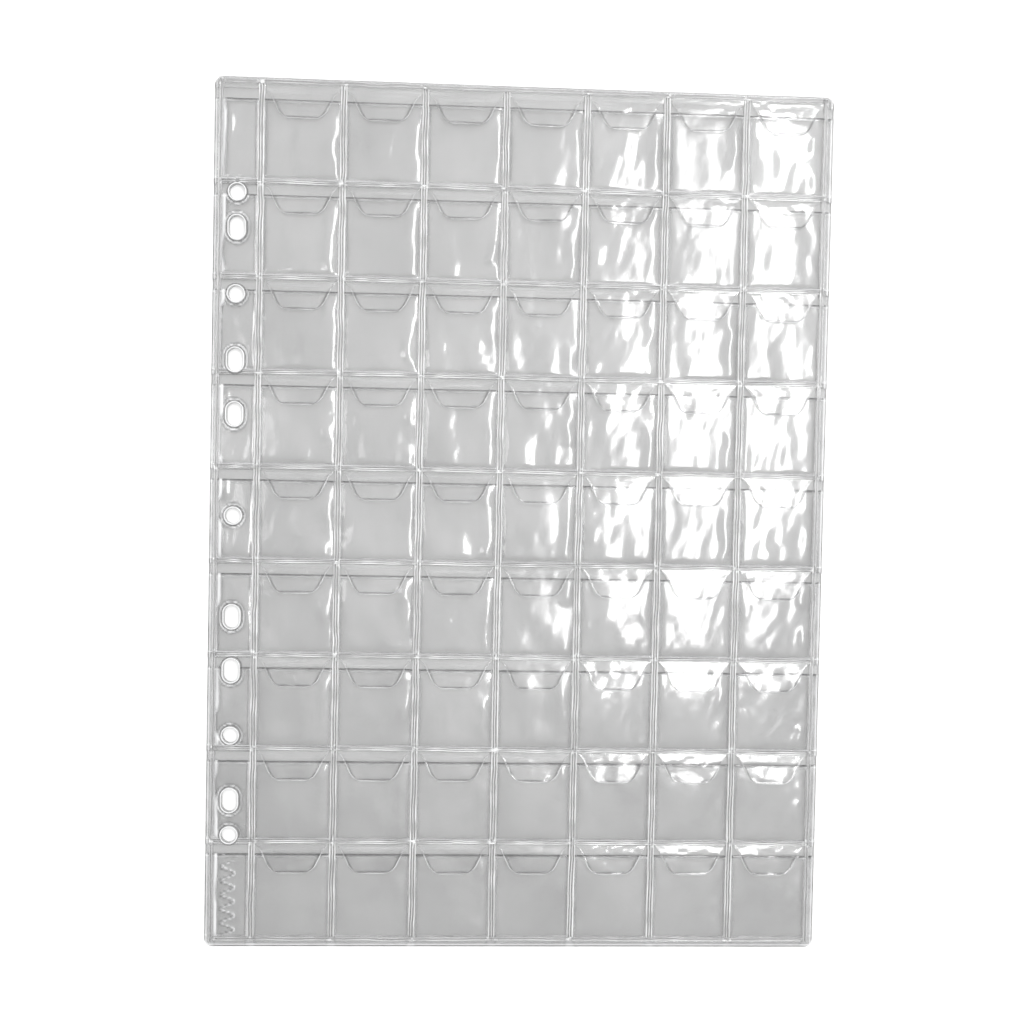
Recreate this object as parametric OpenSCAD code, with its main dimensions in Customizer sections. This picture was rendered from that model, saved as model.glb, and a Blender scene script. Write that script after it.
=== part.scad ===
// Clear pocket page of a coin album.
// The page lies on its back: +X runs from the binder edge to the free edge, +Y to the top edge,
// and +Z out of the front. The origin is the middle of the underside.
// Places on the page are worked out as x from the binder edge and d down from the top edge.

/* [Page] */
// Width of the page, from the binder edge to the free edge
page_w = 232; // [231:0.5:240]
// Height of the page
page_h = 325; // [322:0.5:330]
// Radius of the page's corners
corner_r = 3; // [1:0.5:6]
// Thickness of one film
film_t = 0.2; // [0.1:0.05:0.3]
// Space that stands open in an empty pocket, between the back sheet and the front film
pocket_gap = 1.8; // [0.8:0.1:3]

/* [Pockets] */
// Number of rows of pockets
rows = 9; // [2:1:9]
// Number of columns of pockets
columns = 7; // [2:1:7]
// Distance from one column of pockets to the next
column_pitch = 30.25; // [28:0.25:30.25]
// Distance from one row of pockets to the next
row_pitch = 35.2; // [30:0.1:35.2]
// Width of the binder margin, to the middle of the margin weld
margin_w = 17.25; // [16.5:0.25:18]
// Distance from the page's top edge to the first front strip's top edge
first_mouth = 8; // [7:0.5:9]
// Height of a pocket's mouth, from the row weld above it to its front strip
mouth_h = 4.8; // [4:0.1:6]

/* [Welds] */
// Width of a weld between two columns of pockets
column_weld_w = 2.6; // [1.5:0.1:3]
// Height of a weld between two rows of pockets
row_weld_h = 1.7; // [1:0.1:2]
// Width of the welds round the page's edge
edge_weld_w = 1.8; // [1:0.1:2]
// Distance from the binder edge to the middle of its weld
left_weld_in = 2.2; // [1.5:0.1:3]
// Distance from the top edge to the middle of its weld
top_weld_in = 1.6; // [1.2:0.1:2.5]
// Distance from the bottom edge to the middle of its weld
bottom_weld_in = 3; // [2:0.1:4]

/* [Flaps] */
// Height of the flap strip left above a row weld's middle
band_above = 1.2; // [1:0.1:2]
// Height of the flap strip left below a row weld's middle, down to the flaps' roots
band_below = 1.3; // [1:0.1:2]
// Length of a flap from its root to its tip
flap_l = 10.7; // [8:0.1:14]
// Width of a flap at its root
root_w = 27.2; // [26:0.2:27.4]
// Width of a flap just below its root
shoulder_w = 23.6; // [20:0.2:25]
// Width of a flap at its tip, before the corners are rounded
tip_w = 15.4; // [12:0.2:19]
// Radius of a flap's corners at the tip
tip_r = 6; // [1:0.5:7]
// Space under a closed flap
flap_lift = 0.05; // [0.05:0.05:0.2]

/* [Binder holes] */
// Distance from the binder edge to the middle of the holes
hole_in = 8.8; // [8:0.1:9.5]
// Diameter of a round hole, and width of an oval hole
hole_d = 5.8; // [5:0.1:6.5]
// Length of an oval hole along the page
oval_l = 8.6; // [7:0.1:9]
// Width of the fused rim round a hole
rim_w = 0.8; // [0.5:0.1:1]
// Distance of the outer round holes from the page's middle
outer_round = 120; // [118:0.1:121]
// Distance of the inner round holes from the page's middle
inner_round = 82.4; // [80:0.1:84]
// Distance of the outer oval holes from the page's middle
outer_oval = 106.9; // [106:0.1:108]
// Distance of the middle oval holes from the page's middle
middle_oval = 58; // [56:0.1:60]
// Distance of the inner oval holes from the page's middle
inner_oval = 37.8; // [35:0.1:40]

/* [Hidden] */
$fn = 48;
// Straight steps in each rounded corner of a flap
ARC_STEPS = 6;
// Drop from a flap's root to its shoulder, and the radius of the hollow corner there
SHOULDER_H = 2;
SHOULDER_R = 2.5;
// How far a cutting shape runs past what it cuts
CUT = 1;

// Levels, from the underside up
GAP_Z = film_t;
STRIP_Z = GAP_Z + pocket_gap;
BAND_Z = STRIP_Z + film_t;
FLAP_Z = BAND_Z + flap_lift;
RIM_TOP = FLAP_Z + film_t + 0.05;

// Sides of the welds that run along the page
left_weld_x = left_weld_in - edge_weld_w / 2;
right_weld_x = column_x(columns) - edge_weld_w / 2;
top_weld_d = top_weld_in + edge_weld_w / 2;
bottom_weld_d = page_h - bottom_weld_in - edge_weld_w / 2;

ROUND_HOLES = [outer_round, inner_round, 0, -inner_round, -outer_round];
OVAL_HOLES = [outer_oval, middle_oval, inner_oval, -inner_oval, -middle_oval, -outer_oval];

// Middle of the weld on the right of column c. Column 0 is the binder margin.
function column_x(c) = margin_w + c * column_pitch;

// Middle of the pockets in column c
function pocket_x(c) = (column_x(c - 1) + column_x(c)) / 2;

// Top edge of row r's front strip, down from the page's top edge
function mouth_d(r) = first_mouth + (r - 1) * row_pitch;

// Middle of the weld below row r, down from the page's top edge
function row_weld_d(r) = mouth_d(r + 1) - mouth_h;

// Line along which row r's flaps hinge, down from the page's top edge
function root_d(r) = mouth_d(r) - mouth_h + band_below;

function unit(v) = v / norm(v);

function direction(a) = [cos(a), sin(a)];

// An angle brought into the half turn either way
function half_turn(a) = a > 180 ? a - 360 : a < -180 ? a + 360 : a;

// Points of the arc of radius r that rounds the corner at b, coming from a and going on to c
function corner_arc(a, b, c, r) =
    let (
        u = unit(a - b),
        v = unit(c - b),
        half = acos(u * v) / 2,
        centre = b + unit(u + v) * r / sin(half),
        first = b + u * r / tan(half) - centre,
        last = b + v * r / tan(half) - centre,
        start = atan2(first.y, first.x),
        turn = half_turn(atan2(last.y, last.x) - start)
    )
    [for (i = [0:ARC_STEPS]) centre + r * direction(start + turn * i / ARC_STEPS)];

// A box given by its left and right x, and by its top and bottom distance down the page
module block(x0, x1, d0, d1, z, h) {
    translate([x0 - page_w / 2, page_h / 2 - d1, z])
        cube([x1 - x0, d1 - d0, h]);
}

// The outline of the whole page
module page_outline() {
    square([page_w, page_h - 2 * corner_r], center = true);
    square([page_w - 2 * corner_r, page_h], center = true);
    for (x = [-1, 1])
        for (y = [-1, 1])
            translate([x * (page_w / 2 - corner_r), y * (page_h / 2 - corner_r)])
                circle(corner_r);
}

// The part of the page between two distances down from its top edge, as one film
module page_film(d0, d1, z) {
    intersection() {
        translate([0, 0, z])
            linear_extrude(film_t)
                page_outline();
        block(0, page_w, d0, d1, z - CUT, film_t + 2 * CUT);
    }
}

// One upright post through the page at distance y above its middle, round or oval
module post(y, wider, long, z, h) {
    r = hole_d / 2 + wider;
    run = long ? oval_l - hole_d : 0;
    translate([hole_in - page_w / 2, y, z]) {
        for (side = [-1, 1])
            translate([0, side * run / 2, 0])
                cylinder(h = h, r = r);
        if (long)
            translate([-r, -run / 2, 0])
                cube([2 * r, run, h]);
    }
}

// All eleven posts, wider than the holes by the given amount on every side
module posts(wider, z, h) {
    for (y = ROUND_HOLES)
        post(y, wider, false, z, h);
    for (y = OVAL_HOLES)
        post(y, wider, true, z, h);
}

// Everything that stands in the way of the binder holes' rims is cut away here
module clear_of_rims() {
    difference() {
        children();
        posts(rim_w, -CUT, RIM_TOP + 2 * CUT);
    }
}

// The one full-size film at the back, with the binder holes punched through it
module rear_sheet() {
    color([0.84, 0.86, 0.87, 0.6])
        difference() {
            page_film(0, page_h, 0);
            posts(0, -CUT, film_t + 2 * CUT);
        }
}

// The fused rims that line the binder holes
module hole_rims() {
    color([0.95, 0.96, 0.97, 0.8])
        for (long = [false, true])
            for (y = long ? OVAL_HOLES : ROUND_HOLES)
                difference() {
                    post(y, rim_w, long, GAP_Z, RIM_TOP - GAP_Z);
                    post(y, 0, long, -CUT, RIM_TOP + 2 * CUT);
                }
}

// The welds round the page, inside its edge
module left_edge_weld() {
    color([0.93, 0.94, 0.95, 0.8])
        block(left_weld_x, left_weld_x + edge_weld_w, top_weld_in - edge_weld_w / 2,
            bottom_weld_d + edge_weld_w, GAP_Z, pocket_gap);
}

module right_edge_weld() {
    color([0.93, 0.94, 0.95, 0.8])
        block(right_weld_x, right_weld_x + edge_weld_w, top_weld_in - edge_weld_w / 2,
            bottom_weld_d + edge_weld_w, GAP_Z, pocket_gap);
}

// This one reaches up to the flap band, because no front strip comes between them
module top_edge_weld() {
    color([0.93, 0.94, 0.95, 0.8])
        block(left_weld_x + edge_weld_w, right_weld_x, top_weld_d - edge_weld_w, top_weld_d,
            GAP_Z, pocket_gap + film_t);
}

module bottom_edge_weld() {
    color([0.93, 0.94, 0.95, 0.8])
        block(left_weld_x + edge_weld_w, right_weld_x, bottom_weld_d, bottom_weld_d + edge_weld_w,
            GAP_Z, pocket_gap);
}

// The weld on the right of column c, from the top edge weld to the bottom one
module column_weld(c) {
    color([0.93, 0.94, 0.95, 0.8])
        block(column_x(c) - column_weld_w / 2, column_x(c) + column_weld_w / 2,
            top_weld_d, bottom_weld_d, GAP_Z, pocket_gap);
}

// The weld below row r, in one length for the margin and one for each pocket
module row_weld(r) {
    color([0.93, 0.94, 0.95, 0.8])
        clear_of_rims()
            for (c = [0:columns]) {
                x0 = c == 0 ? left_weld_x + edge_weld_w : column_x(c - 1) + column_weld_w / 2;
                x1 = c == columns ? right_weld_x : column_x(c) - column_weld_w / 2;
                block(x0, x1, row_weld_d(r) - row_weld_h / 2, row_weld_d(r) + row_weld_h / 2,
                    GAP_Z, pocket_gap);
            }
}

// The film across the front of row r. Its top edge is free. The last one reaches the page's bottom edge.
module front_strip(r) {
    end_d = r == rows ? page_h : row_weld_d(r) + row_weld_h / 2;
    color([0.88, 0.90, 0.91, 0.5])
        clear_of_rims()
            page_film(mouth_d(r), end_d, STRIP_Z);
}

// The welded part of row r's flap strip. The first one reaches the page's top edge.
module flap_band(r) {
    start_d = r == 1 ? 0 : row_weld_d(r - 1) - band_above;
    color([0.80, 0.82, 0.84, 0.5])
        clear_of_rims()
            page_film(start_d, root_d(r), BAND_Z);
}

// The outline of one flap, hanging from the origin
module flap_outline() {
    shoulder = [shoulder_w / 2, -SHOULDER_H];
    root = [root_w / 2, 0];
    tip = [tip_w / 2, -flap_l];
    right_half = concat(
        [root],
        corner_arc(root, shoulder, tip, SHOULDER_R),
        corner_arc(shoulder, tip, [-tip.x, tip.y], tip_r)
    );
    left_half = [for (i = [len(right_half) - 1:-1:0]) [-right_half[i].x, right_half[i].y]];
    polygon(concat(right_half, left_half));
}

// Row r's flaps, one over the mouth of each pocket
module flaps(r) {
    color([0.76, 0.79, 0.81, 0.5])
        for (c = [1:columns])
            translate([pocket_x(c) - page_w / 2, page_h / 2 - root_d(r), FLAP_Z])
                linear_extrude(film_t)
                    flap_outline();
}

rear_sheet();
hole_rims();
column_weld(0);  // margin_weld
left_edge_weld();
right_edge_weld();
top_edge_weld();
bottom_edge_weld();
for (c = [1:columns - 1])
    column_weld(c);
for (r = [1:rows - 1])
    row_weld(r);
for (r = [1:rows])
    front_strip(r);
for (r = [1:rows])
    flap_band(r);
for (r = [1:rows])
    flaps(r);
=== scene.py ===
"""The looks of a clear vinyl coin album page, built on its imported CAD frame.

Lengths are in millimetres and turn into metres when a mesh is made. The floor, the lights and the
camera are in metres.
"""

import math

import bpy
import numpy as np
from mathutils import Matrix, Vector


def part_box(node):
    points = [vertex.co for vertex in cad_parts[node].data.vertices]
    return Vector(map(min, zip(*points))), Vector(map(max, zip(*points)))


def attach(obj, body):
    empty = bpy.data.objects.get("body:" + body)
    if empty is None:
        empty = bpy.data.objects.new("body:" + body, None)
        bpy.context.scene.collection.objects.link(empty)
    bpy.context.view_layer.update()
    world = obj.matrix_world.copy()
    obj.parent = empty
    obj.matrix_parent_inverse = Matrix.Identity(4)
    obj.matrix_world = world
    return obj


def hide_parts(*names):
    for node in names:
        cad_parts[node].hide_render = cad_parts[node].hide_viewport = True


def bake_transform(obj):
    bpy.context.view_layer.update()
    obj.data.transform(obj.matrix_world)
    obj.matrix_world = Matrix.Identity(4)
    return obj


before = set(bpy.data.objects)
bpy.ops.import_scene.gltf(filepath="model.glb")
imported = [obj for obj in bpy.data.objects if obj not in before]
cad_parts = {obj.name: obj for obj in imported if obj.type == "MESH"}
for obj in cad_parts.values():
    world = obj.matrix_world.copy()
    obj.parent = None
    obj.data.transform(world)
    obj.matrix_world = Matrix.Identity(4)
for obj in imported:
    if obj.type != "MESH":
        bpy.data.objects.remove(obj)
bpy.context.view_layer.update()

MM = 0.001
MM_PER_METRE = 1000
# A distance that is out of reach of everything
FAR = 1e3
ROWS = 9
COLUMNS = 7
# Thickness of every film
FILM = 0.2

# ---------------------------------------------------------------- places, read from the frame


def span(node):
    """The lowest and highest corner of a CAD node."""
    low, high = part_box(node)
    return np.array(low) * MM_PER_METRE, np.array(high) * MM_PER_METRE


page_low, page_high = span("rear_sheet")
LEFT, BOTTOM = page_low[0], page_low[1]
RIGHT, TOP = page_high[0], page_high[1]
# Radius of the page's corners, and how far in from the sides a rounded corner bends a grid
CORNER = 3.0
CORNER_REACH = 7.0

# Upright welds from left to right: the edge, the margin, six columns and the other edge
upright_names = ["left_edge_weld", "margin_weld"]
upright_names += [f"column_weld_{c}" for c in range(1, COLUMNS)]
upright_names += ["right_edge_weld"]
uprights = [(span(n)[0][0], span(n)[1][0]) for n in upright_names]
# The binder margin ends at the margin weld
margin_right = uprights[1][0]

mouth = {r: span(f"front_strip_{r}")[1][1] for r in range(1, ROWS + 1)}
strip_end = {r: span(f"front_strip_{r}")[0][1] for r in range(1, ROWS + 1)}
band_top = {r: span(f"flap_band_{r}")[1][1] for r in range(1, ROWS + 1)}
root = {r: span(f"flaps_{r}")[1][1] for r in range(1, ROWS + 1)}
tip = {r: span(f"flaps_{r}")[0][1] for r in range(1, ROWS + 1)}
# The weld under each row: low and high y
under = {r: (span(f"row_weld_{r}")[0][1], span(f"row_weld_{r}")[1][1]) for r in range(1, ROWS)}
under[ROWS] = (span("bottom_edge_weld")[0][1], span("bottom_edge_weld")[1][1])
# The weld over each row
over = {r: under[r - 1] for r in range(2, ROWS + 1)}
over[1] = (span("top_edge_weld")[0][1], span("top_edge_weld")[1][1])

# Widths of a tongue at its root, shoulder and tip, its shoulder's depth and its tip's corners
ROOT_W = 27.2
SHOULDER_W = 23.6
SHOULDER_H = 2.0
TIP_W = 15.4
TIP_R = 6.0
pocket_mid = [(uprights[c][1] + uprights[c + 1][0]) / 2 for c in range(1, COLUMNS + 1)]

rim_low, rim_high = span("hole_rims")
HOLE_X = (rim_low[0] + rim_high[0]) / 2
HOLE_R = 2.9
RIM_W = 0.8
# Half the length of the straight part of an oval hole
OVAL_RUN = 1.4
# Places of the holes along the page, from its middle
ROUND_AT = (120.0, 82.4, 0.0, -82.4, -120.0)
OVAL_AT = (106.9, 58.0, 37.8, -37.8, -58.0, -106.9)
holes = [(y, 0.0) for y in ROUND_AT] + [(y, OVAL_RUN) for y in OVAL_AT]

# Height of the front film's face beside a weld, and on the strip outside the edge welds
WELD_Z = 0.95
FLANGE_Z = 0.5
# Run of the film's drop outside an edge weld, and slope of the right edge, which has curled up
FLANGE_RUN = 0.7
RIGHT_CURL = 0.015
# The die has rounded the page's cut sides down by this much, over about this distance
SIDE_DROP = 0.12
SIDE_REACH = 0.24
# Height at which a hole's rim holds the front film and the flap film, and how far that reaches
FRONT_PIN_Z = 1.25
FLAP_PIN_Z = 1.4
PIN_REACH = 1.1

# ---------------------------------------------------------------- shapes of slack film

# Size of the lattice that the waves are drawn from, and where on it the page's middle lies
LATTICE = (97, 89)
LATTICE_START = (211.3, 187.7)


def waves(x, y, size_x, size_y, seed):
    """Smooth seeded noise from -1 to 1, with features of about the given size.

    Each pattern has a seed of its own, so that no two of them line up."""
    lattice = np.random.RandomState(seed).uniform(-1, 1, LATTICE)
    gx = np.asarray(x, float) / size_x + LATTICE_START[0]
    gy = np.asarray(y, float) / size_y + LATTICE_START[1]
    i, j = np.floor(gx).astype(int), np.floor(gy).astype(int)
    u, v = gx - i, gy - j
    # quintic fade, so that the surface stays smooth across the lattice's cells
    u = u * u * u * (u * (6 * u - 15) + 10)
    v = v * v * v * (v * (6 * v - 15) + 10)
    i0, i1 = i % LATTICE[0], (i + 1) % LATTICE[0]
    j0, j1 = j % LATTICE[1], (j + 1) % LATTICE[1]
    low = lattice[i0, j0] * (1 - u) + lattice[i1, j0] * u
    high = lattice[i0, j1] * (1 - u) + lattice[i1, j1] * u
    return low * (1 - v) + high * v


def relief(kind, x, y):
    """Waves of a kind: its height, its size across and along the page, and its seed."""
    height, size_x, size_y, seed = kind
    return height * waves(x, y, size_x, size_y, seed)


def ease(t):
    """0 up to t = 0, rising smoothly to 1 at t = 1."""
    t = np.clip(t, 0, 1)
    return t * t * (3 - 2 * t)


def away(distance, reach):
    """0 at a weld, rising to 1 over a few times the reach."""
    return 1 - np.exp(-np.maximum(distance, 0) / reach)


def hole_distance(x, y):
    """Distance from the middle line of the nearest binder hole."""
    best = np.full(np.broadcast(x, y).shape, FAR)
    for at, run in holes:
        dy = np.maximum(np.abs(y - at) - run, 0)
        best = np.minimum(best, np.hypot(x - HOLE_X, dy))
    return best


def side_gaps(x):
    """Distance to the weld on the left and on the right, each 0 inside a weld."""
    left = np.full(np.shape(x), FAR)
    right = np.full(np.shape(x), FAR)
    for low, high in uprights:
        left = np.where(x >= low, np.maximum(x - high, 0), left)
    for low, high in reversed(uprights):
        right = np.where(x <= high, np.maximum(low - x, 0), right)
    outside = (x < uprights[0][0]) | (x > uprights[-1][1])
    return np.where(outside, 0, left), np.where(outside, 0, right)


def flange(x, y, z):
    """The pressed strip outside the edge welds comes down to the back sheet."""
    out_x = np.maximum(uprights[0][0] - x, x - uprights[-1][1])
    out_y = np.maximum(y - over[1][1], under[ROWS][0] - y)
    out = ease(np.maximum(out_x, out_y) / FLANGE_RUN)
    curled = FLANGE_Z + RIGHT_CURL * np.maximum(x - uprights[-1][1], 0)
    side = np.minimum(x - LEFT, RIGHT - x)
    rounded_off = SIDE_DROP * np.exp(-np.maximum(side, 0) / SIDE_REACH)
    return z * (1 - out) + curled * out - rounded_off


def held_at_rim(from_hole):
    """1 at a binder hole's rim, fading away from it."""
    return np.exp(-np.maximum(from_hole - HOLE_R - RIM_W, 0) / PIN_REACH)


def line(distance, middle, width):
    """1 along a thin line at a distance from something, fading to both sides."""
    return np.exp(-(((distance - middle) / width) ** 2))


# Slack of a pocket's front film, how far it differs between pockets, the binder margin's slack,
# and the extra crown along the middle of a pocket
SLACK = 0.66
SLACK_SPREAD = 0.14
MARGIN_SLACK = 0.42
CROWN = 0.20
# Share of its height that the film keeps at the mouth, and how far below it rises to all of it
MOUTH_SHARE = 0.22
MOUTH_REACH = 5.5
# How fast the film turns up from the welds beside and below it
SIDE_BEND = 0.60
SIDE_BEND_SPREAD = 0.45
ROW_BEND = 1.0
# Long upright ripples and short ones, the finest wrinkles, and the puckers beside the upright
# welds and above the row welds, each as height, size across, size along and seed
LONG_RIPPLES = (0.33, 7.4, 19, 11)
SHORT_RIPPLES = (0.10, 3.3, 7, 12)
WRINKLES = (0.020, 1.5, 2.4, 13)
SIDE_PUCKERS = (0.085, 2.6, 1.9, 14)
ROW_PUCKERS = (0.07, 2.1, 2.4, 15)
# Height of a puff of slack beside a weld
PUFF = 0.62
# How far the puckers of a corner and of a side reach
CORNER_PUCKER_REACH = 2.6
SIDE_PUCKER_REACH = 1.5
ROW_PUCKER_REACH = 1.6
# Height, width and distance from the hole's edge of the ring that the punch pressed
RING_HEIGHT = 0.14
RING_WIDTH = 0.28
RING_OUT = 1.45


def margin_waves(y):
    """Where the binder margin's outer seam is drawn tight, the film beside it puffs up."""
    return waves(0, y, 1, 8, 21)


def front_z(x, y, r, wrinkles=True):
    """Height of row r's front film, which stands off the back sheet like a slack pillow."""
    a, b = side_gaps(x)
    low = y - under[r][1]
    high = mouth[r] - y
    in_margin = x < margin_right
    bay = np.searchsorted([weld[1] for weld in uprights], x)
    slack = SLACK + SLACK_SPREAD * np.sin(2.3 * bay + 4.1 * r)
    slack = np.where(in_margin, MARGIN_SLACK, slack)
    # the film turns up from a weld sharply in some places and gently in others
    bend_waves = np.clip(waves(bay * 3.3, y, 1, 9, 17), -0.6, 1)
    bend = SIDE_BEND + SIDE_BEND_SPREAD * bend_waves
    across = away(a, bend) * away(b, bend + 0.2)
    along = away(low, ROW_BEND)
    # the mouth is held down by the flap over it
    open_end = MOUTH_SHARE + (1 - MOUTH_SHARE) * away(high, MOUTH_REACH)
    shape = across * along
    crown = 0.5 - 0.5 * np.cos(np.pi * np.clip(a / np.maximum(a + b, 1e-6), 0, 1) * 2)
    z = WELD_Z + (slack * shape + CROWN * crown * along * ~in_margin) * open_end
    # the ripples lean a little, and each column's are its own
    ripple = relief(LONG_RIPPLES, x + 0.12 * y + 2.1 * bay, y)
    ripple = ripple + relief(SHORT_RIPPLES, x - 0.25 * y, y)
    z = z + shape * open_end * ripple
    # a puff beside a weld, where the slack gathers
    swell = np.clip(0.35 + 0.95 * waves(bay * 5.7, y, 1, 7.5, 19), 0, 1)
    crest = 3.1 + 0.9 * waves(bay * 7.1, y, 1, 5, 20)
    z = z + shape * open_end * PUFF * swell * line(b, crest, 2.1) * ~in_margin
    swell = np.clip(0.30 + 0.9 * margin_waves(y), 0, 1)
    z = z + shape * PUFF * swell * line(a, 2.6, 1.6) * in_margin
    if wrinkles:
        z = z + shape * relief(WRINKLES, x, y)
        gap = np.minimum(a, b)
        by_side = np.exp(-gap / CORNER_PUCKER_REACH)
        corner = 1 + 2.6 * by_side * np.exp(-np.maximum(low, 0) / 3.0)
        corner = corner + 1.6 * by_side * np.exp(-np.maximum(high, 0) / 3.0)
        near_side = np.exp(-gap / SIDE_PUCKER_REACH) * away(gap, 0.4)
        near_row = np.exp(-np.maximum(low, 0) / ROW_PUCKER_REACH) * away(low, 0.4)
        z = z + along * corner * near_side * relief(SIDE_PUCKERS, x, y)
        z = z + across * corner * near_row * relief(ROW_PUCKERS, x, y)
    s = hole_distance(x, y)
    pin = held_at_rim(s) * in_margin
    z = z * (1 - pin) + FRONT_PIN_Z * pin
    z = z + RING_HEIGHT * line(s, HOLE_R + RING_OUT, RING_WIDTH)
    return flange(x, y, z)


def outline(x, y):
    """Distance in from the page's edge."""
    side = np.minimum(x - LEFT, RIGHT - x)
    return np.maximum(np.minimum(side, np.minimum(TOP - y, y - BOTTOM)), 0)


def edge_marks(x, y):
    """The cut edge of the page: a painted shade line at the cut and a painted highlight line just
    inside it.
    """
    d = outline(x, y)
    return 0.45 * line(d, 0.62, 0.25), 0.75 * line(d, 0.08, 0.2)


# ---------------------------------------------------------------- mesh making


def make_object(name, points, quads, smooth, white, dark):
    """A mesh from points in millimetres and four-sided faces.

    The first mark gives painted highlight lines, which whiten the film, and the second painted
    shade lines, which darken it."""
    used = np.unique(quads)
    index = np.full(len(points), -1)
    index[used] = np.arange(len(used))
    quads = index[quads]
    mesh = bpy.data.meshes.new(name)
    mesh.vertices.add(len(used))
    mesh.vertices.foreach_set("co", (points[used] * MM).astype(np.float32).ravel())
    mesh.loops.add(quads.size)
    mesh.loops.foreach_set("vertex_index", quads.astype(np.int32).ravel())
    mesh.polygons.add(len(quads))
    mesh.polygons.foreach_set("loop_start", np.arange(0, quads.size, 4, dtype=np.int32))
    mesh.polygons.foreach_set("use_smooth", np.asarray(smooth, bool))
    mesh.update(calc_edges=True)
    mesh.validate()
    for key, value in (("white", white), ("dark", dark)):
        layer = mesh.attributes.new(key, "FLOAT", "POINT")
        layer.data.foreach_set("value", np.clip(value[used], 0, 1).astype(np.float32))
    o = bpy.data.objects.new(name, mesh)
    bpy.context.scene.collection.objects.link(o)
    return o


def film_object(name, x, y, z, keep, white, dark):
    """A closed film whose upper face is the grid x, y, z, with only the kept cells."""
    rows, cols = x.shape
    upper = np.stack([x, y, z], -1).reshape(-1, 3)
    lower = upper - [0, 0, FILM]
    at = np.arange(rows * cols).reshape(rows, cols)
    n = rows * cols
    p, q, s, t = at[:-1, :-1], at[1:, :-1], at[1:, 1:], at[:-1, 1:]
    top = np.stack([p, q, s, t], -1)[keep]
    bottom = top[:, ::-1] + n
    padded = np.pad(keep, 1)
    sides = []
    for a, b, gone in (
        (p, q, ~padded[1:-1, :-2]),
        (q, s, ~padded[2:, 1:-1]),
        (s, t, ~padded[1:-1, 2:]),
        (t, p, ~padded[:-2, 1:-1]),
    ):
        m = keep & gone
        sides.append(np.stack([b[m], a[m], a[m] + n, b[m] + n], -1))
    sides = np.concatenate(sides)
    quads = np.concatenate([top, bottom, sides])
    smooth = np.arange(len(quads)) < 2 * len(top)
    points = np.concatenate([upper, lower])
    white, dark = (np.tile(v.ravel(), 2) for v in (white, dark))
    return make_object(name, points, quads, smooth, white, dark)


def rounded(x, y):
    """Pulls the ends of a full-width grid in to the page's rounded corners."""
    t = np.minimum(TOP - y, y - BOTTOM)
    drop = np.clip(CORNER - t, 0, CORNER)
    inset = CORNER - np.sqrt(np.clip(CORNER**2 - drop**2, 0, None))
    left = np.clip(1 - (x - LEFT) / CORNER_REACH, 0, 1)
    right = np.clip(1 - (RIGHT - x) / CORNER_REACH, 0, 1)
    return x + inset * left - inset * right


# Grid points nearer than this to a hole's middle line stay where they are
HOLE_CORE = 0.2


def punch(x, y, keep, radius):
    """Cuts the binder holes out of a grid, with the cut edge on a clean circle or oval."""
    s = hole_distance(x, y)
    inside = s < radius
    all_in = inside[:-1, :-1] & inside[1:, :-1] & inside[1:, 1:] & inside[:-1, 1:]
    keep = keep & ~all_in
    for at, run in holes:
        dy = np.sign(y - at) * np.maximum(np.abs(y - at) - run, 0)
        dx = x - HOLE_X
        d = np.hypot(dx, dy)
        near = (d < radius) & (d > HOLE_CORE)
        scale = np.where(near, radius / np.maximum(d, HOLE_CORE), 1)
        core = y - dy
        x = np.where(near, HOLE_X + dx * scale, x)
        y = np.where(near, core + dy * scale, y)
    return x, y, keep


def steps(low, high, size):
    """Evenly spaced grid lines from low to high, about size apart."""
    return np.linspace(low, high, max(2, int(round((high - low) / size)) + 1))


# Grid lines nearer to each other than this are one line
SAME_LINE = 1e-4


def joined(*parts):
    """Grid lines from several runs, without repeats."""
    places = np.sort(np.concatenate(parts))
    return places[np.concatenate([[True], np.diff(places) > SAME_LINE])]


# How far a film runs in under a weld
LAP = 0.3
# Grid lines close together beside the page's cut edge, where the marks are fine
rim_in = np.array([0, 0.12, 0.26, 0.42, 0.62, 0.85])
RIM_IN_END = rim_in[-1]
fine_x = joined(
    LEFT + rim_in,
    steps(LEFT + RIM_IN_END, uprights[0][0] + LAP, 0.45),
    steps(uprights[0][1] - LAP, margin_right + LAP, 0.5),
    *[
        steps(before[1] - LAP, after[0] + LAP, 0.7)
        for before, after in zip(uprights[1:-1], uprights[2:])
    ],
    steps(uprights[-1][1] - LAP, RIGHT - RIM_IN_END, 0.45),
    RIGHT - rim_in,
)


def fused(x, y, rows_too=()):
    """The cells of a grid that are part of an upright weld, or of a row weld given by its sides."""
    cx = (x[:-1, :-1] + x[1:, 1:]) / 2
    cy = (y[:-1, :-1] + y[1:, 1:]) / 2
    gone = np.zeros(cx.shape, bool)
    inside = (cy < over[1][1] - LAP) & (cy > under[ROWS][0] + LAP)
    for low, high in uprights:
        gone |= (cx > low + LAP) & (cx < high - LAP) & inside
    across = (cx > uprights[0][0] + LAP) & (cx < uprights[-1][1] - LAP)
    for low, high in rows_too:
        gone |= (cy > low + LAP) & (cy < high - LAP) & across
    return gone


# ---------------------------------------------------------------- the films

pieces = []
# The row of each flap film
row_of = {}

# A film's hole is this much wider than the binder hole, and its edge lies inside the rim
HOLE_SPARE = 0.45
# Waviness of the back sheet inside a pocket, and half the width of a row weld
BACK_WAVE = 0.10
HALF_ROW_WELD = 0.85

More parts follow.
